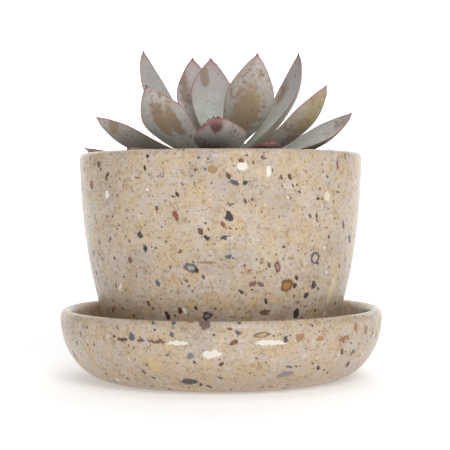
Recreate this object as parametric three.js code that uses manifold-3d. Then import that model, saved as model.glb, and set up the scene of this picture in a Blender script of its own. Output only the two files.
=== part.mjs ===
// A potted echeveria: a rosette of thick pointed leaves on a short rooted stem, in potting mix, in a
// round pot of speckled stone that stands in its own deep saucer.
//
// Units are millimetres. +Z is up, -Y is the front, and the origin is the centre of the saucer's flat
// underside. Every piece that comes apart on a bench is a closed solid of its own: saucer, pot, potting
// mix, the stem with its roots, and each leaf.

import * as THREE from "three";
import { mergeVertices } from "three/addons/utils/BufferGeometryUtils.js";
import Module from "manifold-3d";

const wasm = await Module();
wasm.setup();

// ---------------------------------------------------------------- driving dimensions
const GAP = 0.3; // clearance left between pieces that touch
const ROUND_STEPS = 48; // facets round the turned pieces

// Saucer: a deep round dish with a flat foot and a rolled lip.
const SAUCER_FOOT_RADIUS = 45;
const SAUCER_RADIUS = 65.2;
const SAUCER_WIDEST_HEIGHT = 25.2;
const SAUCER_HEIGHT = 28.4;
const SAUCER_WALL = 4.8;
const SAUCER_FLOOR = 5.5;
const SAUCER_FLOOR_RADIUS = 42; // where the floor turns up into the wall

// Pot: its wall follows a tall ellipse, widest just under a rounded rim.
const POT_RADIUS = 57;
const POT_WIDEST_HEIGHT = 86.6;
const POT_CURVE_DEPTH = 115; // half height of the ellipse that the outside follows
const POT_HOLLOW_DEPTH = 110; // half height of the ellipse that the inside follows
const POT_HEIGHT = 90.6; // of the rim above the ground
const POT_WALL = 5.4;
const POT_FLOOR = 7;
const RIM_OUTER_ROUNDING = 2.2;
const RIM_INNER_ROUNDING = 1.6;
const POT_FOOT_ROUNDING = 5;
const POT_CORNER_ROUNDING = 4; // inside, between floor and wall
const FOOT_RING_WIDTH = 7;
const FOOT_RECESS = 1.5; // how far the underside is hollowed inside the foot ring
const DRAIN_RADIUS = 5;

// Plant.
const SOIL_TOP = 79.5; // height of the mix at the pot's wall
const SOIL_MOUND = 1.2; // how much higher it lies at the stem
const STEM_RADIUS = 8.5;
const STEM_TIP_RADIUS = 1.3;
const STEM_TOP = 98.5;
const STEM_CROWN = 84; // where the lowest leaves sit
const ROOT_COUNT = 6;
const ROOT_LENGTH = 34;
const GOLDEN_ANGLE = 137.508; // turn from each leaf to the next one up the stem

const radians = THREE.MathUtils.degToRad;
const lerp = THREE.MathUtils.lerp;

// ---------------------------------------------------------------- materials
const stone = new THREE.MeshStandardMaterial({ color: 0xcbbba0, roughness: 0.4, metalness: 0 });
const mix = new THREE.MeshStandardMaterial({ color: 0x3d2f25, roughness: 0.95, metalness: 0 });
const bark = new THREE.MeshStandardMaterial({ color: 0x8a7a5c, roughness: 0.85, metalness: 0 });
const leafSkin = new THREE.MeshStandardMaterial({ color: 0xa3a294, roughness: 0.6, metalness: 0 });

// ---------------------------------------------------------------- helpers
const point = (radius, height) => new THREE.Vector2(radius, height);

// Points of an elliptic arc about (radius, height), from one angle to another in degrees.
function arc(radius, height, across, up, from, to, steps) {
  return Array.from({ length: steps + 1 }, (_, i) => {
    const turn = radians(lerp(from, to, i / steps));
    return point(radius + across * Math.cos(turn), height + up * Math.sin(turn));
  });
}

// A turned solid, from a profile that goes anticlockwise and starts and ends on the axis, or closes.
function turned(profile) {
  return new THREE.LatheGeometry(profile, ROUND_STEPS).rotateX(Math.PI / 2);
}

function solidOf(geometry) {
  const bare = new THREE.BufferGeometry().setAttribute("position", geometry.getAttribute("position"));
  bare.setIndex(geometry.index);
  const merged = mergeVertices(bare, 1e-4);
  return new wasm.Manifold(
    new wasm.Mesh({
      numProp: 3,
      vertProperties: merged.attributes.position.array,
      triVerts: new Uint32Array(merged.index.array),
    }),
  );
}

// What a cut or joined solid looks like, without the slivers that cutting leaves.
function geometryOf(solid) {
  const mesh = solid.simplify(0.01).getMesh();
  return new THREE.BufferGeometry()
    .setAttribute("position", new THREE.BufferAttribute(mesh.vertProperties, 3))
    .setIndex(new THREE.BufferAttribute(mesh.triVerts, 1));
}

// A closed skin over a row of rings of equally many points, drawn to a point at each end.
function skinOver(startPoint, rings, endPoint) {
  const size = rings[0].length;
  const points = [startPoint, ...rings.flat(), endPoint];
  const at = (ring, i) => 1 + ring * size + (i % size);
  const faces = [];
  for (let i = 0; i < size; i++) {
    faces.push(0, at(0, i + 1), at(0, i));
    for (let r = 0; r + 1 < rings.length; r++) {
      faces.push(at(r, i), at(r, i + 1), at(r + 1, i));
      faces.push(at(r, i + 1), at(r + 1, i + 1), at(r + 1, i));
    }
    faces.push(at(rings.length - 1, i), at(rings.length - 1, i + 1), points.length - 1);
  }
  return new THREE.BufferGeometry().setFromPoints(points).setIndex(faces);
}

// ---------------------------------------------------------------- saucer
function saucerProfile() {
  const lipMiddle = SAUCER_RADIUS - SAUCER_WALL / 2;
  const flare = SAUCER_RADIUS - SAUCER_FOOT_RADIUS;
  const innerFlare = SAUCER_RADIUS - SAUCER_WALL - SAUCER_FLOOR_RADIUS;
  const lip = SAUCER_HEIGHT - SAUCER_WIDEST_HEIGHT;
  const depth = SAUCER_WIDEST_HEIGHT - SAUCER_FLOOR;
  return [
    point(0, 0),
    ...arc(SAUCER_FOOT_RADIUS, SAUCER_WIDEST_HEIGHT, flare, SAUCER_WIDEST_HEIGHT, -90, 0, 7),
    ...arc(lipMiddle, SAUCER_WIDEST_HEIGHT, SAUCER_WALL / 2, lip, 30, 180, 5),
    ...arc(SAUCER_FLOOR_RADIUS, SAUCER_WIDEST_HEIGHT, innerFlare, depth, -18, -90, 4),
    point(0, SAUCER_FLOOR),
  ];
}

// ---------------------------------------------------------------- pot
// Radius of an ellipse that is widest at the pot's widest height.
function wallRadius(widest, depth, height) {
  return widest * Math.sqrt(1 - ((POT_WIDEST_HEIGHT - height) / depth) ** 2);
}

const outsideRadius = (height) => wallRadius(POT_RADIUS, POT_CURVE_DEPTH, height);
const insideRadius = (height) => wallRadius(POT_RADIUS - POT_WALL, POT_HOLLOW_DEPTH, height);

const WALL_LEAN = 20; // degrees that the wall leans out where it meets the rounded foot
const POT_BOTTOM = SAUCER_FLOOR + GAP;
const POT_FLOOR_TOP = POT_BOTTOM + POT_FLOOR;

// The rounded corner under a wall, from the flat to the wall.
function corner(bottom, rounding, wall, offset = 0) {
  const meets = bottom + rounding * (1 - Math.sin(radians(WALL_LEAN)));
  const middle = wall(meets) - offset - rounding * Math.cos(radians(WALL_LEAN));
  return arc(middle, bottom + rounding, rounding, rounding, -90, -WALL_LEAN, 3);
}

// Heights between a corner and the widest place, spaced evenly.
function heightsAbove(bottom, top, steps) {
  return Array.from({ length: steps }, (_, i) => lerp(bottom, top, (i + 1) / steps));
}

function potProfile() {
  const foot = corner(POT_BOTTOM, POT_FOOT_ROUNDING, outsideRadius);
  const inner = corner(POT_FLOOR_TOP, POT_CORNER_ROUNDING, insideRadius);
  const recessRadius = foot[0].x - FOOT_RING_WIDTH;
  const rimOuter = POT_RADIUS - RIM_OUTER_ROUNDING;
  const rimInner = POT_RADIUS - POT_WALL + RIM_INNER_ROUNDING;
  const wallUp = heightsAbove(foot.at(-1).y, POT_WIDEST_HEIGHT, 5);
  const wallDown = heightsAbove(POT_WIDEST_HEIGHT, inner.at(-1).y, 4).slice(0, -1);
  return [
    point(DRAIN_RADIUS, POT_BOTTOM + FOOT_RECESS),
    point(recessRadius - FOOT_RECESS, POT_BOTTOM + FOOT_RECESS),
    point(recessRadius, POT_BOTTOM),
    ...foot,
    ...wallUp.map((height) => point(outsideRadius(height), height)),
    ...arc(rimOuter, POT_HEIGHT - RIM_OUTER_ROUNDING, RIM_OUTER_ROUNDING, RIM_OUTER_ROUNDING, 0, 90, 3),
    ...arc(rimInner, POT_HEIGHT - RIM_INNER_ROUNDING, RIM_INNER_ROUNDING, RIM_INNER_ROUNDING, 90, 180, 3),
    ...wallDown.map((height) => point(insideRadius(height), height)),
    ...inner.reverse(),
    point(DRAIN_RADIUS, POT_FLOOR_TOP),
    point(DRAIN_RADIUS, POT_BOTTOM + FOOT_RECESS),
  ];
}

// ---------------------------------------------------------------- stem and roots
function stemProfile() {
  return [
    point(0, STEM_CROWN - 22),
    point(2.4, STEM_CROWN - 20),
    point(4.6, STEM_CROWN - 11),
    point(STEM_RADIUS, STEM_CROWN - 3),
    point(STEM_RADIUS, STEM_CROWN + 2),
    point(lerp(STEM_RADIUS, STEM_TIP_RADIUS, 0.6), lerp(STEM_CROWN + 2, STEM_TOP, 0.6)),
    point(STEM_TIP_RADIUS, STEM_TOP - 1),
    point(0, STEM_TOP),
  ];
}

// One main root: it leaves the foot of the stem outwards and bends down. More is its added radius.
function rootGeometry(index, more) {
  const azimuth = radians(index * (360 / ROOT_COUNT) + 17);
  const thick = 1.5 + more;
  const thin = 0.5 + more;
  const steps = 7;
  const out = new THREE.Vector3(Math.cos(azimuth), Math.sin(azimuth), 0);
  const side = new THREE.Vector3(-out.y, out.x, 0);
  const rings = [];
  const spine = new THREE.Vector3(0, 0, STEM_CROWN - 9 - 1.5 * (index % 3)).addScaledVector(out, 2);
  const ahead = new THREE.Vector3();
  for (let i = 0; i <= steps; i++) {
    const dip = radians(lerp(18, 62 + 8 * (index % 2), i / steps));
    ahead.copy(out).multiplyScalar(Math.cos(dip)).setZ(-Math.sin(dip));
    ahead.addScaledVector(side, 0.25 * Math.sin(3 * (i / steps) + index)).normalize();
    const radius = lerp(thick, thin, i / steps);
    const up = new THREE.Vector3().crossVectors(ahead, side).normalize();
    rings.push(
      Array.from({ length: 6 }, (_, k) =>
        spine
          .clone()
          .addScaledVector(side, radius * Math.cos((k * Math.PI) / 3))
          .addScaledVector(up, radius * Math.sin((k * Math.PI) / 3)),
      ),
    );
    if (i < steps) spine.addScaledVector(ahead, ROOT_LENGTH / steps);
  }
  const end = spine.clone().addScaledVector(ahead, 1 + more);
  return skinOver(rings[0][0].clone().lerp(rings[0][3], 0.5), rings, end);
}

// The stem and its roots as one solid. More is what every surface is moved out by.
function stemSolid(more) {
  const profile = stemProfile().map((p) => point(p.x > 0 ? p.x + more : 0, p.y));
  profile[0].y -= more;
  profile.at(-1).y += more;
  let grown = solidOf(turned(profile));
  for (let i = 0; i < ROOT_COUNT; i++) grown = grown.add(solidOf(rootGeometry(i, more)));
  return grown;
}

// ---------------------------------------------------------------- potting mix
function soilProfile() {
  const low = POT_FLOOR_TOP + GAP;
  const foot = corner(low, POT_CORNER_ROUNDING, insideRadius, GAP);
  return [
    point(0, low),
    ...foot,
    ...heightsAbove(foot.at(-1).y, SOIL_TOP, 3).map((height) => point(insideRadius(height) - GAP, height)),
    point(POT_RADIUS * 0.6, SOIL_TOP + SOIL_MOUND * 0.4),
    point(POT_RADIUS * 0.3, SOIL_TOP + SOIL_MOUND),
    point(0, SOIL_TOP + SOIL_MOUND),
  ];
}

// ---------------------------------------------------------------- leaves
// A leaf's shape along its length: [share of length, of half width, of thickness, of hollow].
// It is narrow where it joins the stem, widest past the middle, and drawn out to a sharp tip.
const LEAF_SECTIONS = [
  [0, 0.22, 0.42, 0],
  [0.1, 0.32, 0.6, 0.05],
  [0.24, 0.55, 0.92, 0.2],
  [0.38, 0.79, 1, 0.5],
  [0.52, 0.95, 0.92, 0.8],
  [0.64, 1, 0.82, 1],
  [0.76, 0.88, 0.66, 1],
  [0.86, 0.6, 0.5, 0.8],
  [0.94, 0.28, 0.36, 0.4],
  [0.98, 0.11, 0.2, 0.1],
];

// Round a section, from the right margin over the top: [share of half width, top or bottom, share].
const SECTION_POINTS = [
  [1, 0, 0],
  [0.5, 1, 0.75],
  [0, 1, 1],
  [-0.5, 1, 0.75],
  [-1, 0, 0],
  [-0.8, -1, 0.42],
  [-0.4, -1, 0.82],
  [0, -1, 1],
  [0.4, -1, 0.82],
  [0.8, -1, 0.42],
];

const LEAF_COUNT = 34;
const BUD_STARTS = 18; // leaves from here on make the small bud in the middle

// How leaves change from the oldest, at 0, to the youngest.
function grownLeaf(index) {
  const youth = index / (LEAF_COUNT - 1);
  const inBud = Math.max(0, (index - BUD_STARTS) / (LEAF_COUNT - 1 - BUD_STARTS));
  return {
    azimuth: 26 + GOLDEN_ANGLE * index,
    length: index < BUD_STARTS ? 50 : lerp(15, 5, inBud),
    width: index < BUD_STARTS ? 20 : lerp(10.5, 3, inBud),
    thickness: index < BUD_STARTS ? 4 : lerp(2.8, 1.3, inBud),
    hollow: index < BUD_STARTS ? 1.5 : lerp(0.9, 0.3, inBud),
    rise: index < BUD_STARTS ? 30 : lerp(46, 76, inBud),
    curl: lerp(22, 40, inBud),
    sweep: 0,
    twist: 0,
    foot: lerp(STEM_CROWN + 2, STEM_TOP - 1.5, youth),
  };
}

// Leaves that lean, turn or curl in ways of their own, by their place in the spiral.
const OWN_WAYS = {
  0: { azimuth: 26, length: 43, rise: 5, curl: 9 },
  1: { azimuth: 178, length: 47.3, rise: 4, curl: 10, twist: 7, foot: 85.8 },
  2: { azimuth: 293, length: 45, rise: 3.4, curl: 12, sweep: -7, twist: 8, foot: 86.2 },
  3: { azimuth: 79, length: 47, rise: 6, curl: 12 },
  4: { azimuth: 227, length: 44, rise: 3, curl: 8, sweep: 2, twist: 9, foot: 86.4 },
  5: { azimuth: 0, length: 50, rise: 9, curl: 28, sweep: 3, twist: 30 },
  6: { azimuth: 114, length: 44, rise: 12, curl: 20 },
  7: { azimuth: 271, length: 44.5, width: 21, rise: 10, curl: 17, sweep: -5, twist: 8 },
  8: { azimuth: 48, length: 47, rise: 8, curl: 22 },
  9: { azimuth: 184, length: 46.4, rise: 7.5, curl: 27, twist: 29, foot: 89 },
  10: { azimuth: 344, length: 47.4, rise: 14.5, curl: 45, sweep: -4, twist: -18 },
  11: { azimuth: 106.5, length: 58, rise: 32, curl: 38 },
  12: { azimuth: 230.5, length: 45.5, rise: 17.5, curl: 40, sweep: -4, twist: 34, foot: 88.4 },
  13: { azimuth: 20, length: 52, width: 18.5, rise: 33, curl: 47, twist: 9 },
  14: { azimuth: 152, length: 54.3, width: 21, rise: 35, curl: 41 },
  15: { azimuth: 292.5, length: 50.4, width: 19.4, rise: 24, curl: 46, sweep: -5, twist: -28 },
  16: { azimuth: 54, length: 40, rise: 44, curl: 30 },
  17: { azimuth: 100, length: 47.5, width: 19, rise: 47, curl: 26, sweep: -6, foot: 91.5 },
  18: { azimuth: 324, length: 28, width: 13 },
  19: { azimuth: 130, length: 12, rise: 52 },
  21: { azimuth: 30, length: 26, width: 12, rise: 54 },
  22: { azimuth: 168, length: 24, width: 12, rise: 36, curl: 30 },
};

// The leaf's skin. More is what every surface is moved out by.
function leafGeometry(leaf, more) {
  const half = leaf.width / 2;
  const steps = 40;
  const along = [];
  const start = radians(leaf.azimuth);
  const level = new THREE.Vector3(Math.cos(start), Math.sin(start), 0);
  const stemAt = lerp(
    STEM_RADIUS,
    STEM_TIP_RADIUS,
    THREE.MathUtils.clamp((leaf.foot - STEM_CROWN - 2) / (STEM_TOP - STEM_CROWN - 2), 0, 1),
  );
  const spine = level.clone().multiplyScalar(stemAt + GAP).setZ(leaf.foot);
  for (let i = 0; i <= steps; i++) {
    const t = i / steps;
    const rise = radians(leaf.rise + leaf.curl * t);
    const heading = start + radians(leaf.sweep * t);
    const ahead = new THREE.Vector3(
      Math.cos(rise) * Math.cos(heading),
      Math.cos(rise) * Math.sin(heading),
      Math.sin(rise),
    );
    const side = new THREE.Vector3(-Math.sin(heading), Math.cos(heading), 0);
    side.applyAxisAngle(ahead, radians(leaf.twist * t));
    const up = new THREE.Vector3().crossVectors(ahead, side);
    along.push({ spine: spine.clone(), ahead, side, up });
    if (i < steps) spine.addScaledVector(ahead, leaf.length / steps);
  }
  const rings = LEAF_SECTIONS.map(([share, wide, thick, hollow]) => {
    const here = along[Math.round(share * steps)];
    return SECTION_POINTS.map(([across, side, depth]) => {
      const top = -hollow * leaf.hollow;
      const drop = side > 0 ? top * depth + more : side < 0 ? (top - thick * leaf.thickness) * depth - more : 0;
      return here.spine
        .clone()
        .addScaledVector(here.side, across * (wide * half + more))
        .addScaledVector(here.up, drop);
    });
  });
  const last = along.at(-1);
  const base = rings[0][2].clone().lerp(rings[0][7], 0.5).addScaledVector(along[0].ahead, -more);
  return skinOver(base, rings, last.spine.clone().addScaledVector(last.ahead, more));
}

// The leaves from the youngest down. One that presses on a younger leaf, or on any other piece, is cut
// clear of it.
function leafGeometries(obstacles) {
  const geometries = [];
  let taken = obstacles;
  for (let i = LEAF_COUNT - 1; i >= 0; i--) {
    const leaf = { ...grownLeaf(i), ...OWN_WAYS[i] };
    geometries[i] = leafGeometry(leaf, 0);
    const solid = solidOf(geometries[i]);
    if (solid.intersect(taken).volume() > 0) {
      const bodies = solid.subtract(taken).decompose();
      geometries[i] = geometryOf(bodies.reduce((a, b) => (a.volume() > b.volume() ? a : b)));
    }
    taken = taken.add(solidOf(leafGeometry(leaf, GAP)));
  }
  return geometries;
}

// ---------------------------------------------------------------- the object
const group = new THREE.Group();

function addPiece(name, geometry, material) {
  const mesh = new THREE.Mesh(geometry, material);
  mesh.name = name;
  group.add(mesh);
}

const pot = turned(potProfile());
const soil = solidOf(turned(soilProfile()));
const potBelowLeaves = solidOf(pot).translate([0, 0, GAP]);
const soilBelowLeaves = soil.translate([0, 0, GAP]);

addPiece("saucer", turned(saucerProfile()), stone);
addPiece("pot", pot, stone);
addPiece("potting_mix", geometryOf(soil.subtract(stemSolid(GAP))), mix);
addPiece("stem_and_roots", geometryOf(stemSolid(0)), bark);
leafGeometries(stemSolid(GAP).add(potBelowLeaves).add(soilBelowLeaves)).forEach((geometry, i) => {
  addPiece(`leaf_${String(i + 1).padStart(2, "0")}`, geometry, leafSkin);
});

export default group;
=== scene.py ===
# %% [markdown]
# # A potted echeveria
#
# This lesson dresses a finished CAD part: a rosette of fleshy leaves in a pot of speckled stone that
# stands in its own saucer. The CAD part already has the right sizes, so nothing here moves or resizes
# it. We build finer pieces in the same places, give each a finish, and let them stand for the plain
# solids. Lengths are metres, +Z is up and the front looks towards -Y.

# %% Load the CAD part
import math
import random

import bpy
import numpy as np
from mathutils import Matrix, Vector
from mathutils.bvhtree import BVHTree


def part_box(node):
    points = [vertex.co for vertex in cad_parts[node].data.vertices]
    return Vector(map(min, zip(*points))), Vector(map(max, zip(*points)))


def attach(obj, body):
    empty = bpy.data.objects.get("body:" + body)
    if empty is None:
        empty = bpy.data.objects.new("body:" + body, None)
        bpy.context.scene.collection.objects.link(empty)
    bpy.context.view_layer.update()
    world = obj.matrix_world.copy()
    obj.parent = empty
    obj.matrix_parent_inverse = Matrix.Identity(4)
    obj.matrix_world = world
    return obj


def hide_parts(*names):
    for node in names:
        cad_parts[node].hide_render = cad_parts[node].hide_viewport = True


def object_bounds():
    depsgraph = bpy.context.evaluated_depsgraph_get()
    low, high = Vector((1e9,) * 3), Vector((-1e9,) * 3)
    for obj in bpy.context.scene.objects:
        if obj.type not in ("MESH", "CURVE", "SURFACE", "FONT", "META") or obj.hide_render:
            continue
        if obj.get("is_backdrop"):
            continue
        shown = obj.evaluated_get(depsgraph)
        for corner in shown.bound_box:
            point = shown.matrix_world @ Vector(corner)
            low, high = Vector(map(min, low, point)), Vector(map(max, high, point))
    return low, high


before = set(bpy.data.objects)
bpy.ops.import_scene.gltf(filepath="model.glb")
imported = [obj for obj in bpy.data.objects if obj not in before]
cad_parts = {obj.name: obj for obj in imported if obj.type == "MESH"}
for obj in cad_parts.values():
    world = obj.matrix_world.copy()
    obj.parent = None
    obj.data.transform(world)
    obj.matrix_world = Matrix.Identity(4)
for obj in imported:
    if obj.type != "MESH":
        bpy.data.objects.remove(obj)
cad_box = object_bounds()
MM = 0.001
leaf_nodes = sorted(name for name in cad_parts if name.startswith("leaf_"))
print("CAD nodes:", len(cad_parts), "of which leaves:", len(leaf_nodes))

# %% [markdown]
# ## Bench habits
#
# Blender's operators act on whatever is selected, just as they do by hand. Most surprises come from
# something else being selected too, so every step starts by letting go of everything and taking up one
# piece. The loader leaves all CAD nodes selected, which makes this matter from the very first step.


# %% Take up one piece at a time
def let_go():
    if bpy.context.object and bpy.context.object.mode != "OBJECT":
        bpy.ops.object.mode_set(mode="OBJECT")
    bpy.ops.object.select_all(action="DESELECT")


def take(piece):
    let_go()
    piece.select_set(True)
    bpy.context.view_layer.objects.active = piece
    return piece


def edit_all(piece):
    take(piece)
    bpy.ops.object.mode_set(mode="EDIT")
    bpy.ops.mesh.select_all(action="SELECT")


def finish_with(piece, kind, **settings):
    """Adds a modifier, sets it and applies it at once."""
    take(piece)
    modifier = piece.modifiers.new(kind.title(), kind)
    for name, value in settings.items():
        setattr(modifier, name, value)
    bpy.ops.object.modifier_apply(modifier=modifier.name)


def smooth(piece, levels):
    finish_with(piece, "SUBSURF", levels=levels, render_levels=levels)
    take(piece)
    bpy.ops.object.shade_smooth()


def stand_for(piece, node):
    """The piece moves with the part and is shown in place of a CAD node."""
    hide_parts(node)
    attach(piece, "root")
    print(piece.name, len(piece.data.polygons), "faces")


# %% [markdown]
# ## Shader maths as sums
#
# A material is a sum over values: a mask times a colour, one noise minus another. Wiring each sum by
# hand hides the idea, so this small class wraps a socket and lets Python's own signs add the Math
# nodes. Colours don't go through Math nodes, which would turn them grey: they go through Mix nodes.


# %% A socket that can be calculated with
class Reading:
    def __init__(self, finish, socket):
        self.finish = finish
        self.socket = socket

    def maths(self, operation, *values):
        inputs = dict(enumerate(values))
        return self.finish.add("ShaderNodeMath", {"operation": operation}, inputs)

    def __add__(self, other):
        return self.maths("ADD", self, other)

    def __radd__(self, other):
        return self.maths("ADD", other, self)

    def __sub__(self, other):
        return self.maths("SUBTRACT", self, other)

    def __rsub__(self, other):
        return self.maths("SUBTRACT", other, self)

    def __mul__(self, other):
        return self.maths("MULTIPLY", self, other)

    def __rmul__(self, other):
        return self.maths("MULTIPLY", other, self)

    def under(self, limit):
        return self.maths("LESS_THAN", self, limit)

    def most(self, other):
        return self.maths("MAXIMUM", self, other)

    def clip(self):
        return self.finish.add("ShaderNodeClamp", {}, {"Value": self})

    def rise(self, low, high):
        """0 at low, 1 at high, and a smooth step between; low may be the greater."""
        low, high, top, bottom = (low, high, 1, 0) if low < high else (high, low, 0, 1)
        inputs = {"Value": self, "From Min": low, "From Max": high, "To Min": bottom, "To Max": top}
        return self.finish.add("ShaderNodeMapRange", {"interpolation_type": "SMOOTHSTEP"}, inputs)


# %% A finish, which is a material built node by node
def tint(red, green, blue):
    """A colour as a paint chart gives it, 0 to 255, turned into light."""
    shares = [channel / 255 for channel in (red, green, blue)]
    linear = [s / 12.92 if s <= 0.04 else ((s + 0.055) / 1.055) ** 2.4 for s in shares]
    return (*linear, 1)


class Finish:
    def __init__(self, name):
        self.material = bpy.data.materials.new(name)
        self.material.use_nodes = True
        self.tree = self.material.node_tree
        self.tree.nodes.clear()

    def add(self, kind, settings=None, inputs=None, output=0):
        node = self.tree.nodes.new(kind)
        for name, value in (settings or {}).items():
            if name == "stops":
                self.set_stops(node.color_ramp, value)
            elif name == "ramp_steps":
                node.color_ramp.interpolation = "CONSTANT" if value else "LINEAR"
            else:
                setattr(node, name, value)
        for name, value in (inputs or {}).items():
            if isinstance(value, Reading):
                self.tree.links.new(value.socket, node.inputs[name])
            else:
                node.inputs[name].default_value = value
        return Reading(self, node.outputs[output])

    @staticmethod
    def set_stops(ramp, stops):
        while len(ramp.elements) < len(stops):
            ramp.elements.new(0.5)
        for element, (place, colour) in zip(ramp.elements, stops):
            element.position = place
            element.color = colour

    def place(self):
        return self.add("ShaderNodeTexCoord", output="Object")

    def attribute(self, name):
        return self.add("ShaderNodeAttribute", {"attribute_name": name}, output="Fac")

    def noise(self, place, size, detail=3, roughness=0.5, seed=0, output=0):
        """Noise whose blotches are about that size, in metres."""
        inputs = {"Vector": place, "W": seed, "Scale": 0.5 / size}
        inputs.update({"Detail": detail, "Roughness": roughness})
        return self.add("ShaderNodeTexNoise", {"noise_dimensions": "4D"}, inputs, output)

    def mix(self, share, first, second, blend="MIX"):
        settings = {"data_type": "RGBA", "blend_type": blend}
        return self.add("ShaderNodeMix", settings, {0: share, 6: first, 7: second}, 2)

    def vector(self, operation, *values, output=0):
        inputs = dict(enumerate(values))
        return self.add("ShaderNodeVectorMath", {"operation": operation}, inputs, output)

    def bump(self, height, depth, strength=1.0):
        inputs = {"Height": height, "Distance": depth, "Strength": strength}
        return self.add("ShaderNodeBump", {}, inputs)

    def surface(self, **sockets):
        inputs = {name.replace("_", " "): value for name, value in sockets.items()}
        shader = self.add("ShaderNodeBsdfPrincipled", {}, inputs)
        self.add_output(shader)
        return self.material

    def add_output(self, shader):
        output = self.tree.nodes.new("ShaderNodeOutputMaterial")
        self.tree.links.new(shader.socket, output.inputs["Surface"])


print("ready to mix finishes")

# %% [markdown]
# ## Camera
#
# A product shot of something this small is taken from about half a metre with a long lens, nearly
# level with the rim. That keeps the rim a flat curve and still shows the lip of the saucer as a thin
# ellipse. The camera is tipped down by a little over a degree instead of being shifted, so that it
# can be walked round the part without anything sliding off the picture.

# %% Set up the camera
let_go()
bpy.ops.object.camera_add(location=(0, -517.3 * MM, 72.7 * MM))
camera = bpy.context.object
camera.data.sensor_width = 36
camera.data.lens = 101.7
tip, swing, roll = math.radians(-1.244), math.radians(-0.19), math.radians(0.22)
camera.rotation_euler = (math.radians(90) + tip, roll, swing)
bpy.context.scene.camera = camera
bpy.context.scene.view_settings.view_transform = "Standard"
print("lens", camera.data.lens, "mm at", round(camera.location.length / MM), "mm")

# %% [markdown]
# ## Stage and light
#
# The floor sweeps up behind the part, as a sheet of paper does in a studio, so no horizon shows. A
# plane is pulled up along its back edge and the fold is rounded with a bevel. The paper glows a
# little, more so further away, which keeps the background white and the shadow under the saucer
# faint. One large soft light from the front, just
# right of the middle, gives the round shapes their form; a weaker one fills from the left, and one
# overhead keeps the rim and the leaves bright.

# %% Paper sweep
paper = Finish("studio_paper")
grain = paper.noise(paper.place(), 0.02, detail=2)
paper_colour = paper.mix(grain, tint(244, 244, 244), tint(250, 250, 250))
away = paper.vector("LENGTH", paper.place(), output=1)
glow = paper.mix(away.rise(0.12, 0.9), (0.34, 0.34, 0.34, 1), (1, 1, 1, 1))
paper_white = paper.surface(
    Base_Color=paper_colour, Roughness=0.9, Emission_Color=glow, Emission_Strength=0.95
)

let_go()
bpy.ops.mesh.primitive_plane_add(size=4, location=(0, 0, 0))
floor = bpy.context.object
floor.name = "paper_sweep"
bpy.ops.object.mode_set(mode="EDIT")
bpy.ops.mesh.select_all(action="DESELECT")
bpy.ops.object.mode_set(mode="OBJECT")
for edge in floor.data.edges:
    edge.select = all(floor.data.vertices[v].co.y > 1 for v in edge.vertices)
bpy.ops.object.mode_set(mode="EDIT")
bpy.ops.mesh.select_mode(type="EDGE")
bpy.ops.mesh.extrude_region_move(TRANSFORM_OT_translate={"value": (0, 0, 2.5)})
bpy.ops.object.mode_set(mode="OBJECT")
finish_with(floor, "BEVEL", width=0.8, segments=12, limit_method="ANGLE")
bpy.ops.object.shade_smooth()
floor.data.materials.append(paper_white)
floor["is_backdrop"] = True
print("paper sweep", [round(x, 2) for x in floor.dimensions], "m")


# %% Lights
def soft_light(name, place, aim, size, watts):
    let_go()
    bpy.ops.object.light_add(type="AREA", location=place)
    light = bpy.context.object
    light.name = name
    light.data.shape = "SQUARE"
    light.data.size = size
    light.data.energy = watts
    light.rotation_mode = "QUATERNION"
    light.rotation_quaternion = (Vector(aim) - Vector(place)).to_track_quat("-Z", "Y")


soft_light("front_light", (0.3, -1.1, 0.75), (0, 0, 0.06), 0.7, 8.4)
soft_light("left_fill", (-1.3, -0.7, 0.6), (0, 0, 0.06), 1.0, 0.5)
soft_light("overhead", (0.1, 0.1, 1.4), (0, 0, 0.06), 1.2, 5.4)
world = bpy.data.worlds.new("studio_air")
world.use_nodes = True
world.node_tree.nodes["Background"].inputs["Color"].default_value = (1, 1, 1, 1)
world.node_tree.nodes["Background"].inputs["Strength"].default_value = 0.18
bpy.context.scene.world = world

# %% [markdown]
# ## Speckled stone
#
# The pot and saucer are cut and polished from a pale limestone full of shell and grit. Its ground is
# a cloudy mix of cream, sand and grey. In it float flecks of every size: dust, brown and slate chips
# a millimetre or two long, broken rings that were shells, and a few white pieces. A solid pattern in
# three dimensions suits it, because the real flecks run through the stone and are sliced wherever
# the wall cuts them. Voronoi cells give one fleck each; a random number per cell says whether it is
# there, how big it is and what it is made of.

# %% The ground of the stone
PEARL, SAND, GREY = tint(202, 188, 174), tint(204, 179, 142), tint(170, 159, 153)
NEAR_BLACK, SLATE, UMBER = tint(52, 46, 48), tint(94, 92, 100), tint(96, 70, 58)
RUST, TAN, SHELL = tint(138, 78, 58), tint(174, 138, 96), tint(240, 235, 224)
OCHRE = tint(172, 122, 62)


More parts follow.
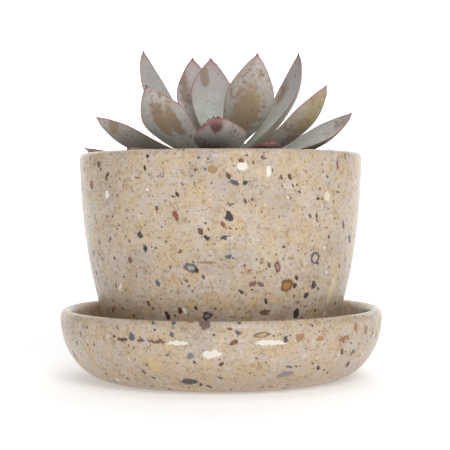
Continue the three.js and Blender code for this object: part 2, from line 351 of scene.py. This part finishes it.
def stone_ground(finish, place):
    cloud = finish.noise(place, 2.8 * MM, detail=6, roughness=0.72, seed=1)
    veil = finish.noise(place, 11 * MM, detail=5, roughness=0.6, seed=2)
    grit = finish.noise(place, 0.7 * MM, detail=3, roughness=0.7, seed=3)
    rubble = finish.noise(place, 1.7 * MM, detail=4, roughness=0.7, seed=4)
    ground = finish.mix(cloud.rise(0.4, 0.6) * 0.9, PEARL, SAND)
    ground = finish.mix(veil.rise(0.5, 0.66) * 0.4, ground, GREY)
    ground = finish.mix(rubble.rise(0.52, 0.66) * 0.7, ground, tint(172, 144, 114))
    ground = finish.mix(rubble.rise(0.44, 0.32) * 0.5, ground, tint(228, 218, 206))
    ground = finish.mix(grit.rise(0.53, 0.68) * 0.7, ground, tint(144, 120, 102))
    ground = finish.mix(grit.rise(0.42, 0.28) * 0.4, ground, tint(236, 226, 212))
    spots = finish.noise(place, 2.4 * MM, detail=4, roughness=0.65, seed=6).rise(0.6, 0.7)
    ground = finish.mix(spots * 0.6, ground, tint(188, 144, 90))
    # Painted shade: the colour darkens towards the bottom of the stone, from 18 mm down, where the
    # lower walls turn away from the light.
    painted_shade_low_down = finish.add("ShaderNodeSeparateXYZ", {}, {"Vector": place}, 2).rise(18 * MM, 2 * MM)
    return finish.mix(painted_shade_low_down * 0.3, ground, tint(150, 130, 108))


print("ground colours ready")


# %% Flecks of one size
def fleck_layer(finish, colour, place, cell, share, least, most, stretch, turn, seed, stops):
    """Lays one fleck in a share of the cells of that size. Least and most are its half widths in mm."""
    wobble = finish.noise(place, most * 0.8 * MM, detail=3, roughness=0.65, seed=seed, output=1)
    wobble = finish.vector("SUBTRACT", wobble, (0.5, 0.5, 0.5))
    moved = finish.vector("MULTIPLY_ADD", wobble, (most * 1.5 * MM,) * 3, place)
    inputs = {"Vector": moved, "Location": (seed * 0.37, seed * 0.11, seed * 0.23), "Rotation": turn}
    inputs["Scale"] = (stretch, stretch**0.3, 1)
    turned = finish.add("ShaderNodeMapping", {"vector_type": "TEXTURE"}, inputs)
    voronoi = {"Vector": turned, "Scale": 1000 / cell, "Randomness": 1.0}
    near = finish.add("ShaderNodeTexVoronoi", {"voronoi_dimensions": "3D"}, voronoi)
    chance = finish.add("ShaderNodeTexVoronoi", {"voronoi_dimensions": "3D"}, voronoi, 1)
    parts = [finish.add("ShaderNodeSeparateColor", {}, {"Color": chance}, i) for i in range(3)]
    size = parts[1] * parts[1] * ((most - least) / cell) + least / cell
    mask = (size - near).rise(-0.05 / cell, 0.12 / cell) * parts[0].under(share)
    ramp = finish.add("ShaderNodeValToRGB", {"stops": stops, "ramp_steps": True}, {"Fac": parts[2]})
    return finish.mix(mask * 0.95, colour, ramp), mask


DUST = [(0, UMBER), (0.25, RUST), (0.4, SLATE), (0.65, NEAR_BLACK), (0.8, tint(126, 104, 88))]
CHIPS = [
    (0, NEAR_BLACK),
    (0.3, SLATE),
    (0.55, UMBER),
    (0.74, RUST),
    (0.83, tint(150, 128, 112)),
    (0.94, SHELL),
]
LUMPS = [(0, SLATE), (0.25, tint(120, 96, 92)), (0.5, TAN), (0.7, SHELL), (0.85, NEAR_BLACK)]

# Cell size, share of cells filled, least and most half width, stretch, turn, seed and colours.
FLECKS = {
    "dust": (1.2, 0.6, 0.13, 0.34, 1.3, (0.3, 0.8, 0.1), 5, DUST),
    "grit": (2.1, 0.7, 0.2, 0.55, 1.7, (0.9, 0.2, 1.4), 11, DUST),
    "nibs": (2.8, 0.6, 0.25, 0.75, 2.2, (1.3, 0.9, 0.3), 13, CHIPS),
    "chips": (4.6, 0.6, 0.4, 1.35, 1.7, (0.2, 1.1, 0.6), 17, CHIPS),
    "dashes": (4.0, 0.4, 0.25, 0.6, 3.4, (0.1, 0.2, 0.9), 23, CHIPS),
    "lumps": (12, 0.25, 0.8, 2.2, 1.5, (0.7, 0.4, 0.2), 29, LUMPS),
}
print("fleck layers:", ", ".join(FLECKS))


# %% Broken shell rings
def shell_rings(finish, colour, place):
    wobble = finish.noise(place, 2.5 * MM, detail=2, seed=31, output=1)
    moved = finish.vector("MULTIPLY_ADD", wobble, (2.2 * MM,) * 3, place)
    inputs = {"Vector": moved, "Scale": 1 / (9 * MM), "Randomness": 1.0}
    near = finish.add("ShaderNodeTexVoronoi", {}, inputs)
    chance = finish.add("ShaderNodeTexVoronoi", {}, inputs, 1)
    red = finish.add("ShaderNodeSeparateColor", {}, {"Color": chance}, 0)
    radius = red * 0.34 + 0.06
    band = (near - radius).maths("ABSOLUTE").rise(0.034, 0.016)
    gaps = finish.noise(place, 1.6 * MM, detail=1, seed=33).rise(0.47, 0.56)
    mask = band * gaps * red.under(0.5)
    return finish.mix(mask * 0.7, colour, tint(104, 88, 90))


print("rings up to about", round(9 * 0.23 * 2, 1), "mm across")

# %% [markdown]
# Some inclusions are big enough to be landmarks: a white shell piece under the rim, a row of brown
# dashes on the saucer, a round golden pebble. Three white streaks on the saucer's wall are painted
# highlights, where the front light reflects. Each is painted as an ellipsoid sunk in the wall. A
# Mapping node in texture mode moves the coordinates into the ellipsoid's own space, where its skin is
# at length one, and a little noise frays the edge. They are listed in a mason's terms: how far round
# from the right-hand side, how high, how long and wide, and how much they lean.


# %% One landmark inclusion
def sink(finish, colour, frayed, radius, turn, height, length, width, lean, shade, core=None):
    """Sinks an inclusion of those millimetres in the wall; on the saucer three are painted highlights.
    With a core, the shade is only its skin.
    """
    angle = math.radians(turn)
    centre = (radius * MM * math.cos(angle), radius * MM * math.sin(angle), height * MM)
    inputs = {
        "Vector": frayed,
        "Location": centre,
        "Rotation": (0, -math.radians(lean), angle + math.pi / 2),
        "Scale": (length / 2 * MM, 4 * MM, width / 2 * MM),
    }
    own = finish.add("ShaderNodeMapping", {"vector_type": "TEXTURE"}, inputs)
    reach = finish.vector("LENGTH", own, output=1)
    colour = finish.mix(reach.rise(1.15, 0.85) * 0.95, colour, shade)
    if core:
        colour = finish.mix(reach.rise(0.72, 0.5), colour, core)
    return colour


# %% The stone finish
def speckled_stone(name, inclusions_and_highlights):
    stone = Finish(name)
    place = stone.place()
    colour = stone_ground(stone, place)
    masks = {}
    for kind, layer in FLECKS.items():
        colour, masks[kind] = fleck_layer(stone, colour, place, *layer)
    colour = shell_rings(stone, colour, place)
    fray = stone.noise(place, 0.9 * MM, detail=4, roughness=0.7, seed=41, output=1)
    frayed = stone.vector("MULTIPLY_ADD", fray, (3.2 * MM,) * 3, place)
    frayed = stone.vector("SUBTRACT", frayed, (1.6 * MM,) * 3)
    for inclusion_or_highlight in inclusions_and_highlights:
        colour = sink(stone, colour, frayed, *inclusion_or_highlight)
    polish = stone.noise(place, 4 * MM, detail=3, seed=7)
    pits = masks["chips"].most(masks["lumps"]) * 0.5 + masks["dust"] * 0.3
    normal = stone.bump(polish * 0.25 - pits, 0.08 * MM)
    roughness = polish * 0.14 + 0.22 + pits * 0.12
    return stone.surface(Base_Color=colour, Roughness=roughness, Normal=normal, Specular_IOR_Level=0.35)


POT_LANDMARKS = [
    (55, 278, 84, 5, 3.6, 10, SHELL),
    (55, 288, 82, 2, 4.6, 0, SHELL),
    (55, 315, 73, 3.2, 4.2, 20, tint(232, 220, 190)),
    (54, 275, 78, 4.5, 2.2, -15, tint(84, 82, 88)),
    (54, 279, 78, 2.6, 2, 30, NEAR_BLACK),
    (55, 221, 81, 3.8, 1.8, 50, tint(74, 60, 58)),
    (55, 237, 80, 2.6, 0.8, 0, RUST),
    (54, 230, 77, 1.8, 1.2, 60, SLATE),
    (55, 248, 81, 2, 2.6, 0, tint(140, 124, 132), tint(196, 182, 168)),
    (53, 237, 59, 3.2, 3, -40, NEAR_BLACK, tint(88, 84, 94)),
    (53, 239, 54, 1.9, 3.6, 5, tint(40, 34, 36)),
    (52, 220, 57, 1.6, 3.4, -20, UMBER),
    (53, 244, 54, 1.8, 1.1, 20, SLATE),
    (53, 254, 53, 1.4, 1.4, 0, RUST),
    (52, 258, 47, 5.4, 3.6, -25, SLATE, tint(168, 162, 160)),
    (52, 260, 46, 1.8, 1.8, 0, NEAR_BLACK),
    (52, 264, 49, 7.5, 0.9, -3, tint(150, 116, 88)),
    (50, 222, 39, 1.2, 4, -30, SHELL),
    (50, 219, 39, 1, 2.2, 0, NEAR_BLACK),
    (51, 209, 48, 1.6, 5, -10, tint(216, 196, 156)),
    (49, 237, 33, 1.6, 2.6, 20, UMBER),
    (49, 252, 31, 1.8, 2.4, 10, tint(92, 44, 36)),
    (48, 264, 29, 3.6, 3.4, 0, tint(60, 56, 62), tint(150, 140, 138)),
    (54, 271, 58, 3.2, 1.4, 25, tint(62, 78, 78)),
    (53, 273, 51, 2, 1.8, 0, SLATE),
    (55, 274, 70, 2.2, 1, 10, SLATE),
    (55, 293, 80, 1, 2.8, 25, UMBER),
    (56, 321, 85, 1, 4.6, -3, tint(128, 80, 72)),
    (55, 310, 72, 2.2, 1.5, 10, tint(88, 42, 46)),
    (54, 310, 65, 1.2, 5, 15, tint(104, 88, 78)),
    (54, 328, 62, 1.5, 4.8, 25, tint(74, 62, 60)),
    (53, 311, 50, 5, 4.8, 0, tint(88, 72, 76), tint(196, 178, 156)),
    (52, 293, 47, 2.4, 4.6, 20, tint(112, 72, 68), tint(156, 128, 112)),
    (51, 298, 40, 5.2, 5, 0, tint(110, 78, 46), OCHRE),
    (51, 302, 40, 2, 2.2, 0, NEAR_BLACK),
    (51, 312, 39, 1.4, 2.6, 10, NEAR_BLACK),
    (50, 309, 36, 2.4, 2, 30, tint(58, 52, 56)),
    (51, 326, 37, 4.2, 11.5, -8, tint(218, 200, 160)),
    (51, 283, 41, 3.4, 1.8, 30, tint(128, 86, 70)),
    (50, 278, 38, 2.8, 1.6, -35, tint(56, 54, 62)),
    (49, 305, 29, 2.6, 4.2, 0, tint(46, 52, 54)),
    (49, 289, 30, 4, 2, 0, tint(120, 88, 64)),
]
SAUCER_LANDMARKS_AND_HIGHLIGHTS = [
    (60, 258, 5.2, 10, 3.6, 0, tint(62, 62, 66), tint(136, 138, 134)),
    (64, 236, 21, 5, 1.4, 0, tint(92, 70, 60)),
    (64, 243, 21, 2.8, 1.2, 0, tint(104, 80, 66)),
    (64, 249, 21, 8, 1.2, 0, tint(116, 90, 72)),
    # Painted highlights: the next three white streaks stand for the front light's reflection on the
    # saucer's wall.
    (64, 256, 20.5, 8, 1.6, 0, SHELL),
    (64, 267, 16.5, 7.5, 3, 6, SHELL),
    (64, 286, 20.5, 12, 1.9, -2, SHELL),
    (64, 291, 21.5, 2.2, 2.4, 0, tint(84, 80, 84)),
    (64, 283, 23.5, 6.5, 2.2, 6, tint(122, 100, 84), tint(196, 168, 132)),
    (64, 274, 21, 2.8, 2, 20, tint(124, 82, 62)),
    (64, 315, 20, 6.5, 2, 10, tint(158, 112, 82)),
    (64, 321, 24, 2.4, 4, 15, tint(168, 118, 84)),
    (64, 304, 21, 4, 1.8, 10, tint(176, 132, 96)),
    (64, 296, 22, 4, 2.8, 25, tint(166, 130, 98)),
    (64, 328, 22, 3.4, 3.4, 0, tint(160, 118, 88)),
    (62, 260, 16, 3.4, 2.4, 30, tint(132, 126, 124)),
    (62, 270, 13, 1.8, 1.8, 20, tint(98, 62, 46)),
    (61, 247, 12, 5, 4.6, -30, tint(206, 182, 134)),
    (61, 322, 14, 3.4, 2.6, 20, tint(106, 100, 110)),
    (60, 293, 8, 7, 2.2, 8, tint(142, 130, 132)),
    (61, 252, 16, 2, 1.2, 0, SLATE),
]
pot_stone = speckled_stone("pot_stone", POT_LANDMARKS)
saucer_stone = speckled_stone("saucer_stone", SAUCER_LANDMARKS_AND_HIGHLIGHTS)
print("stone nodes:", len(pot_stone.node_tree.nodes), len(saucer_stone.node_tree.nodes))

# %% [markdown]
# ## Pot and saucer
#
# Both are turned shapes, so one outline says it all. The outline could be drawn as a curve and spun,
# but pulling a circle of edges up through the outline, ring by ring, is easier to follow and leaves
# clean quads. The outline is read off the CAD solid, point by point along one side, so the finer
# piece can't drift from it. Ninety-six points round and a subdivision surface remove the facets.

# %% Read a turned solid's outline
AROUND = 96


def outline_of(node):
    """The (radius, height) points of one side of a turned solid, in order."""
    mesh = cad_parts[node].data

    def key(index):
        place = mesh.vertices[index].co
        return round(place.x, 6), round(place.z, 6)

    on_side = {v.index for v in mesh.vertices if abs(v.co.y) < 2e-6 and v.co.x > -1e-6}
    joined = {}
    for edge in mesh.edges:
        if all(v in on_side for v in edge.vertices):
            a, b = map(key, edge.vertices)
            if a != b:
                joined.setdefault(a, set()).add(b)
                joined.setdefault(b, set()).add(a)
    ends = [p for p in joined if len(joined[p]) == 1 or p[0] < 1e-5]
    walk = [min(ends or joined, key=lambda p: (p[1], p[0]))]
    while True:
        onward = [p for p in joined[walk[-1]] if p not in walk]
        if not onward:
            return walk
        walk.append(max(onward) if len(walk) == 1 else onward[0])


pot_outline = outline_of("pot")
saucer_outline = outline_of("saucer")
print("pot", len(pot_outline), "points; saucer", len(saucer_outline), "points")


# %% Pull a circle up through an outline
def pull_up(name, outline, cap_ends):
    let_go()
    radius, height = outline[0]
    bpy.ops.mesh.primitive_circle_add(vertices=AROUND, radius=radius, location=(0, 0, height))
    piece = bpy.context.object
    piece.name = piece.data.name = name
    bpy.ops.object.transform_apply(location=True, rotation=True, scale=True)
    edit_all(piece)
    if cap_ends:
        bpy.ops.mesh.edge_face_add()
        bpy.ops.mesh.select_all(action="SELECT")
    for (r0, h0), (r1, h1) in zip(outline, outline[1:]):
        bpy.ops.mesh.extrude_region_move(TRANSFORM_OT_translate={"value": (0, 0, h1 - h0)})
        bpy.ops.transform.resize(value=(r1 / r0, r1 / r0, 1), center_override=(0, 0, 0))
    if not cap_ends:
        bpy.ops.mesh.select_all(action="SELECT")
        bpy.ops.mesh.remove_doubles(threshold=0.01 * MM)
    bpy.ops.mesh.select_all(action="SELECT")
    bpy.ops.mesh.normals_make_consistent(inside=False)
    let_go()
    return piece


# %% Pot
pot = pull_up("stone_pot", pot_outline + pot_outline[:1], cap_ends=False)
smooth(pot, 2)
pot.data.materials.append(pot_stone)
stand_for(pot, "pot")

# %% Saucer
inside_axis = [p for p in saucer_outline if p[0] > 1e-5]
saucer = pull_up("stone_saucer", inside_axis, cap_ends=True)
smooth(saucer, 2)
saucer.data.materials.append(saucer_stone)
stand_for(saucer, "saucer")

# %% [markdown]
# ## Leaves
#
# Each leaf is a thick wedge with a hollow upper face, a keeled back and a sharp red margin. The CAD
# leaf already has that form in flat facets. A copy of it is merged, its triangles joined back to
# quads, its margins creased, and a subdivision surface rounds everything but the creases. The very
# tip is creased too and drawn out by a fraction of a millimetre, or it would come out blunt. That
# keeps every leaf where the part has it, at a fraction of the work of sculpting each one.


# %% Round off a leaf
CROWN = Vector((0, 0, 86 * MM))
TIP_PULL = 0.7 * MM


def rounded_leaf(node):
    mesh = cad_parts[node].data.copy()
    leaf = bpy.data.objects.new(node.replace("leaf", "fleshy_leaf"), mesh)
    bpy.context.scene.collection.objects.link(leaf)
    edit_all(leaf)
    bpy.ops.mesh.remove_doubles(threshold=0.01 * MM)
    limit = math.radians(70)
    bpy.ops.mesh.tris_convert_to_quads(face_threshold=limit, shape_threshold=limit)
    bpy.ops.mesh.select_all(action="DESELECT")
    bpy.ops.mesh.select_mode(type="EDGE")
    bpy.ops.mesh.edges_select_sharp(sharpness=math.radians(78))
    bpy.ops.transform.edge_crease(value=0.9)
    bpy.ops.mesh.select_mode(type="VERT")
    bpy.ops.mesh.select_all(action="DESELECT")
    let_go()
    tip = max(mesh.vertices, key=lambda v: (v.co - CROWN).length)
    tip.select = True
    edges = [set(edge.vertices) for edge in mesh.edges if tip.index in edge.vertices]
    ring = [mesh.vertices[i].co for ends in edges for i in ends - {tip.index}]
    centre = sum(ring, Vector()) / len(ring)
    take(leaf)
    bpy.ops.object.mode_set(mode="EDIT")
    bpy.ops.transform.vert_crease(value=1)
    bpy.ops.transform.translate(value=(tip.co - centre).normalized() * TIP_PULL)
    let_go()
    smooth(leaf, 3)
    return leaf


leaves = {node: rounded_leaf(node) for node in leaf_nodes}
print("leaf faces:", sum(len(leaf.data.polygons) for leaf in leaves.values()))

# %% [markdown]
# The finish of a leaf follows the leaf: margins are red, the base is green, stains sit beside the
# midrib. So each point of the mesh is told where on the leaf it is: how far from the margin and the
# tip in millimetres, how far along and across as shares, and whether it is on the upper face. A
# material can read such numbers as attributes.


# %% Measure where each point lies on its leaf
def points_of(mesh):
    places = np.zeros(len(mesh.vertices) * 3)
    mesh.vertices.foreach_get("co", places)
    normals = np.zeros(len(mesh.vertices) * 3)
    mesh.vertices.foreach_get("normal", normals)
    return places.reshape(-1, 3), normals.reshape(-1, 3)


def nearest(points, targets):
    return np.sqrt(((points[:, None, :] - targets[None]) ** 2).sum(2).min(1))


def unit(v):
    return v / np.linalg.norm(v)


def leaf_readings(leaf):
    mesh = leaf.data
    points, normals = points_of(mesh)
    crease = np.array([c.value for c in mesh.attributes["crease_edge"].data])
    ends = np.zeros(len(mesh.edges) * 2, int)
    mesh.edges.foreach_get("vertices", ends)
    margin = points[np.unique(ends.reshape(-1, 2)[crease > 0.5])]
    tip = points[np.argmax(np.linalg.norm(points - np.array(CROWN), axis=1))]
    from_axis = np.linalg.norm(points[:, :2], axis=1)
    base = points[np.argsort(from_axis)[:40]].mean(0)
    ahead = unit(tip - base)
    above = np.array([0, 0, 1.0])
    if abs(ahead[2]) >= 0.97:
        above = unit(np.array([-base[0], -base[1], 2 * MM]))
    above = unit(above - ahead * (above @ ahead))
    side = np.cross(ahead, above)
    offset = points - base
    length = np.linalg.norm(tip - base)
    across = offset @ side
    return {
        "edge": nearest(points, margin) / MM,
        "tip": np.linalg.norm(points - tip, axis=1) / MM,
        "along": offset @ ahead / length,
        "across": across / np.abs(across).max(),
        "upper": (normals @ above > 0).astype(float),
    }


readings = {node: leaf_readings(leaf) for node, leaf in leaves.items()}
first = readings["leaf_16"]
print("leaf_16 reaches", round(float(first["tip"].max()), 1), "mm")
print("its widest margin gap is", round(float(first["edge"].max()), 1), "mm")

# %% [markdown]
# Old scars and sun stains are different on every leaf, and the eye remembers the big ones. They are
# placed here as soft spots in leaf terms: which face, how far along and across, and how long and
# wide. The finish later breaks their edges up with noise. Ochre is corky brown, and wine is the dark
# red of a stressed tip.

# %% Stains by leaf
UP, UNDER = 1, 0
STAINS = {
    "leaf_03": [("wine", UNDER, 0.8, 0, 0.4, 1.4, 1.0)],
    "leaf_06": [("ochre", UNDER, 0.72, 0.5, 0.3, 0.6, 0.8), ("ochre", UP, 0.85, 0.2, 0.16, 0.6, 0.6)],
    "leaf_08": [("wine", UNDER, 0.95, 0.1, 0.1, 0.3, 1.0)],
    "leaf_10": [("ochre", UNDER, 0.82, -0.55, 0.06, 0.25, 1.2)],
    "leaf_11": [("ochre", UNDER, 0.7, 0.1, 0.34, 0.9, 0.9)],
    "leaf_12": [("ochre", UP, 0.75, -0.55, 0.26, 0.35, 0.7)],
    "leaf_13": [
        ("ochre", UNDER, 0.7, -0.2, 0.15, 0.26, 1.4),
        ("ochre", UNDER, 0.64, -0.62, 0.16, 0.12, 1.3),
    ],
    "leaf_14": [("ochre", UP, 0.66, -0.6, 0.14, 0.3, 0.9)],
    "leaf_15": [("wine", UP, 0.76, -1.0, 0.025, 0.12, 1.4)],
    "leaf_16": [
        ("ochre", UNDER, 0.52, 0.2, 0.14, 0.36, 0.9),
        ("ochre", UNDER, 0.66, 0.15, 0.26, 0.9, 0.72),
    ],
    "leaf_18": [("ochre", UP, 0.82, -0.3, 0.1, 0.22, 1.4)],
}


def soft_spot(where, face, along, across, length, width, strength):
    reach = ((where["along"] - along) / length) ** 2 + ((where["across"] - across) / width) ** 2
    return strength * np.exp(-reach) * (where["upper"] == face)


def store(mesh, name, values):
    layer = mesh.attributes.new(name, "FLOAT", "POINT")
    layer.data.foreach_set("value", np.asarray(values, np.float32))


chance = random.Random(12)
for node, leaf in leaves.items():
    where = readings[node]
    for kind in ("ochre", "wine"):
        spots = [soft_spot(where, *spot) for k, *spot in STAINS.get(node, []) if k == kind]
        where[kind] = np.clip(sum(spots) if spots else np.zeros(len(where["edge"])), 0, 1.2)
    where["tone"] = np.full(len(where["edge"]), chance.random())
    for name in ("edge", "tip", "along", "upper", "ochre", "wine", "tone"):
        store(leaf.data, "leaf_" + name, where[name])
print("stained leaves:", len(STAINS))

# %% [markdown]
# ## Leaf skin
#
# Echeveria skin is green flesh under a white waxy bloom, which makes it a chalky grey-green on the
# inside of the rosette and lilac where the plant has had strong sun. The finish is painted in that
# order: flesh, bloom, blush towards the tip, stains, then the thin red line of the margin and the
# dark point. Wax is a soft, rough coat, so the skin is mostly matt.

# %% Skin finish
skin = Finish("leaf_skin")
place = skin.place()
edge, tip_near = skin.attribute("leaf_edge"), skin.attribute("leaf_tip")
along, upper = skin.attribute("leaf_along"), skin.attribute("leaf_upper")
tone = skin.attribute("leaf_tone")
broad = skin.noise(place, 9 * MM, detail=4, roughness=0.6, seed=3)
patchy = skin.noise(place, 3 * MM, detail=5, roughness=0.68, seed=8)
fine = skin.noise(place, 0.8 * MM, detail=4, roughness=0.7, seed=13)
print("leaf attributes wired:", sum(n.type == "ATTRIBUTE" for n in skin.tree.nodes))

# %% Flesh and bloom
flesh = skin.mix(along.rise(0.6, 0.1), tint(168, 164, 150), tint(158, 158, 120))
chalk = skin.mix(upper, tint(188, 185, 180), tint(194, 198, 190))
bloom = (broad * 0.5 + patchy * 0.5 + fine * 0.3).rise(0.54, 0.76) * 0.9 + upper * 0.3
skin_colour = skin.mix(bloom.clip(), flesh, chalk)
lilac = along.rise(0.4, 0.95) * (upper * 0.3 + 0.3) * (tone * 0.6 + 0.6)
skin_colour = skin.mix(lilac.clip(), skin_colour, tint(192, 176, 182))
scurf = (patchy * 0.6 + fine * 0.4 - 0.5).maths("ABSOLUTE").rise(0.03, 0.005) * (1 - upper) * 0.4
skin_colour = skin.mix(scurf, skin_colour, tint(208, 200, 196))
print("flesh, bloom and lilac laid")

# %% Stains
corky = (skin.attribute("leaf_ochre") * 0.8 + patchy * 1.2 + fine * 1.1 - 1.3).rise(0.0, 0.45)
cork_colour = skin.mix(broad.rise(0.42, 0.58), tint(160, 142, 88), tint(150, 126, 94))
cork_colour = skin.mix(upper * 0.8, cork_colour, tint(140, 116, 98))
skin_colour = skin.mix(corky * 0.85, skin_colour, cork_colour)
worn = (patchy * 0.55 + fine * 0.45).rise(0.52, 0.61)
scuffs = worn * along.rise(0.15, 0.5) * (1 - upper * 0.55) * 0.75
skin_colour = skin.mix(scuffs, skin_colour, tint(148, 124, 106))
dots = (fine * 0.8 + patchy * 0.2).rise(0.54, 0.62) * (1 - upper * 0.4) * 0.6
skin_colour = skin.mix(dots, skin_colour, tint(126, 104, 106))
wine = (skin.attribute("leaf_wine") + patchy * 0.5 - 0.3).rise(0.15, 0.55)
skin_colour = skin.mix(wine * 0.9, skin_colour, tint(96, 52, 48))
print("stains laid")

# %% Margins and tips
frayed_edge = edge + (patchy - 0.5) * 1.4
blush = frayed_edge.rise(1.8, 0.1) * 0.3 + (tip_near + (patchy - 0.5) * 9).rise(7, 1) * 0.4
skin_colour = skin.mix(blush.clip(), skin_colour, tint(176, 132, 128))
line = frayed_edge.rise(0.55, 0.2) * along.rise(0.12, 0.4)
skin_colour = skin.mix(line * 0.75, skin_colour, tint(158, 88, 80))
point = (tip_near + (fine - 0.5) * 3).rise(2.4, 0.6)
skin_colour = skin.mix(point * 0.85, skin_colour, tint(112, 58, 54))
waxy = 0.58 + (fine - 0.5) * 0.25 - corky * 0.1
relief = patchy * 0.5 + fine * 0.25 - corky * 0.25
leaf_skin = skin.surface(
    Base_Color=skin_colour,
    Roughness=waxy.clip(),
    Normal=skin.bump(relief, 0.25 * MM, 0.8),
    Subsurface_Weight=0.06,
    Subsurface_Scale=0.8 * MM,
    Sheen_Weight=0.15,
)
for node, leaf in leaves.items():
    leaf.data.materials.clear()
    leaf.data.materials.append(leaf_skin)
    stand_for(leaf, node)

# %% [markdown]
# ## Stem and roots
#
# Under the leaves is a short corky stem that runs down into its roots. The CAD solid has the right
# shape in facets, so a merged copy is rounded in the same way as the leaves, with nothing creased.

# %% Stem
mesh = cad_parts["stem_and_roots"].data.copy()
stem = bpy.data.objects.new("corky_stem", mesh)
bpy.context.scene.collection.objects.link(stem)
edit_all(stem)
bpy.ops.mesh.remove_doubles(threshold=0.01 * MM)
smooth(stem, 2)
cork = Finish("stem_cork")
place = cork.place()
flattened = cork.vector("MULTIPLY", place, (1, 1, 3))
flakes = cork.noise(flattened, 1.6 * MM, detail=5, roughness=0.7, seed=2)
cork_colour = cork.mix(flakes.rise(0.35, 0.65), tint(92, 74, 52), tint(158, 142, 112))
stem.data.materials.clear()
flaky = cork.bump(flakes, 0.6 * MM)
stem.data.materials.append(
    cork.surface(Base_Color=cork_colour, Roughness=flakes * 0.3 + 0.6, Normal=flaky)
)
stand_for(stem, "stem_and_roots")

# %% [markdown]
# ## Potting mix
#
# Succulents grow in a coarse, dark mix: peat, bark and grit. Its body fills the pot, and only its top
# shows, between the leaves. The body is pulled up like the pot, its top ring drawn in to the middle
# in small steps so that there are enough points to roughen with a displacement. Its side follows the
# pot's outline between two radii. One point of the outer wall lies between them too, so low down the
# body swells about 3 mm into the pot's wall, where nothing shows.

# %% Body of the mix
low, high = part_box("potting_mix")
wall_gap, mix_mound, top_rings = 0.3 * MM, 1.2 * MM, 26
top_height, top_radius = high.z - mix_mound, high.x - 0.2 * MM
wall_points = {
    (radius - wall_gap, height)
    for radius, height in outline_of("pot")
    if 36.3 * MM < radius < 51.5 * MM and low.z < height < top_height - 4 * MM
}
top_steps = [i / top_rings for i in range(top_rings)]
top_outline = [(top_radius * (1 - step), top_height + mix_mound * step) for step in top_steps]
body_outline = sorted(wall_points, key=lambda point: point[1]) + top_outline
soil = pull_up("potting_mix_body", body_outline, cap_ends=True)
top = soil.vertex_groups.new(name="top")
top.add([v.index for v in soil.data.vertices if v.co.z > top_height - 0.1 * MM], 1, "REPLACE")
smooth(soil, 1)
lumps_texture = bpy.data.textures.new("lumps", "CLOUDS")
lumps_texture.noise_scale = 4.5 * MM
lumps_texture.noise_depth = 3
roughness = {"texture": lumps_texture, "strength": 2.2 * MM, "mid_level": 0.6}
finish_with(soil, "DISPLACE", direction="Z", vertex_group="top", **roughness)
print("mix top at", round(top_height / MM, 1), "mm")

# %% [markdown]
# Loose crumbs make the surface believable. One crumb is modelled: a coarse ball, pushed about with a
# random transform. Copies are turned, squashed and dropped on the surface at random places, with a
# fixed seed so that the pot is planted the same way each time.

# %% One crumb and its copies
let_go()
bpy.ops.mesh.primitive_ico_sphere_add(subdivisions=1, radius=1, location=(0, 0, 0))
crumb = bpy.context.object
bpy.ops.object.mode_set(mode="EDIT")
bpy.ops.transform.vertex_random(offset=0.45, seed=4)
let_go()
soil_points = [vertex.co for vertex in soil.data.vertices]
surface = BVHTree.FromPolygons(soil_points, [face.vertices for face in soil.data.polygons])


def scatter(name, count, small, large, seed):
    pick = random.Random(seed)
    copies = []
    for _ in range(count):
        reach, turn = top_radius * 0.97 * math.sqrt(pick.random()), pick.uniform(0, math.tau)
        size = pick.uniform(small, large)
        above = Vector((reach * math.cos(turn), reach * math.sin(turn), high.z + 20 * MM))
        hit = surface.ray_cast(above, Vector((0, 0, -1)))[0]
        if hit is None or reach < 9 * MM or reach + size > top_radius:
            continue
        copy = bpy.data.objects.new(name, crumb.data.copy())
        spin = Matrix.Rotation(pick.uniform(0, 6), 4, Vector((pick.random(), pick.random(), 0.5)))
        squash = Matrix.Diagonal((size, size * pick.uniform(0.5, 1), size * pick.uniform(0.4, 0.8), 1))
        copy.data.transform(Matrix.Translation(hit + Vector((0, 0, size * 0.2))) @ spin @ squash)
        bpy.context.scene.collection.objects.link(copy)
        copies.append(copy)
    let_go()
    for copy in copies:
        copy.select_set(True)
    bpy.context.view_layer.objects.active = copies[0]
    bpy.ops.object.join()
    joined = bpy.context.object
    joined.name = name
    print(name, "copies:", len(copies))
    return joined


bark_chips = scatter("bark_crumbs", 420, 0.7 * MM, 2.0 * MM, 5)
grit_grains = scatter("pumice_grains", 190, 0.5 * MM, 1.5 * MM, 6)
bpy.data.objects.remove(crumb)


# %% Finish of the mix
def earthy(name, dark, pale, size, rough):
    earth = Finish(name)
    crumbs = earth.noise(earth.place(), size, detail=5, roughness=0.75, seed=3)
    colour = earth.mix(crumbs.rise(0.35, 0.68), dark, pale)
    normal = earth.bump(crumbs, 0.8 * MM)
    return earth.surface(Base_Color=colour, Roughness=rough - crumbs * 0.1, Normal=normal)


soil.data.materials.append(earthy("peat", tint(34, 26, 20), tint(84, 66, 50), 1.6 * MM, 1.0))
for piece, finish in (
    (bark_chips, earthy("bark_chip", tint(52, 36, 26), tint(118, 84, 58), 1.2 * MM, 0.95)),
    (grit_grains, earthy("pumice", tint(128, 120, 108), tint(206, 200, 188), 0.6 * MM, 0.98)),
):
    piece.data.materials.clear()
    piece.data.materials.append(finish)
    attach(piece, "root")
stand_for(soil, "potting_mix")

# %% [markdown]
# ## The size of the dressed part
#
# The dressed part has to keep the CAD part's size. The sizes of both boxes are printed.

# %% Boxes before and after
shown_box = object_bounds()
boxes = {"cad": [list(corner) for corner in cad_box], "visual": [list(corner) for corner in shown_box]}
for name, (least, greatest) in boxes.items():
    print(name, [round((b - a) / MM, 1) for a, b in zip(least, greatest)], "mm")
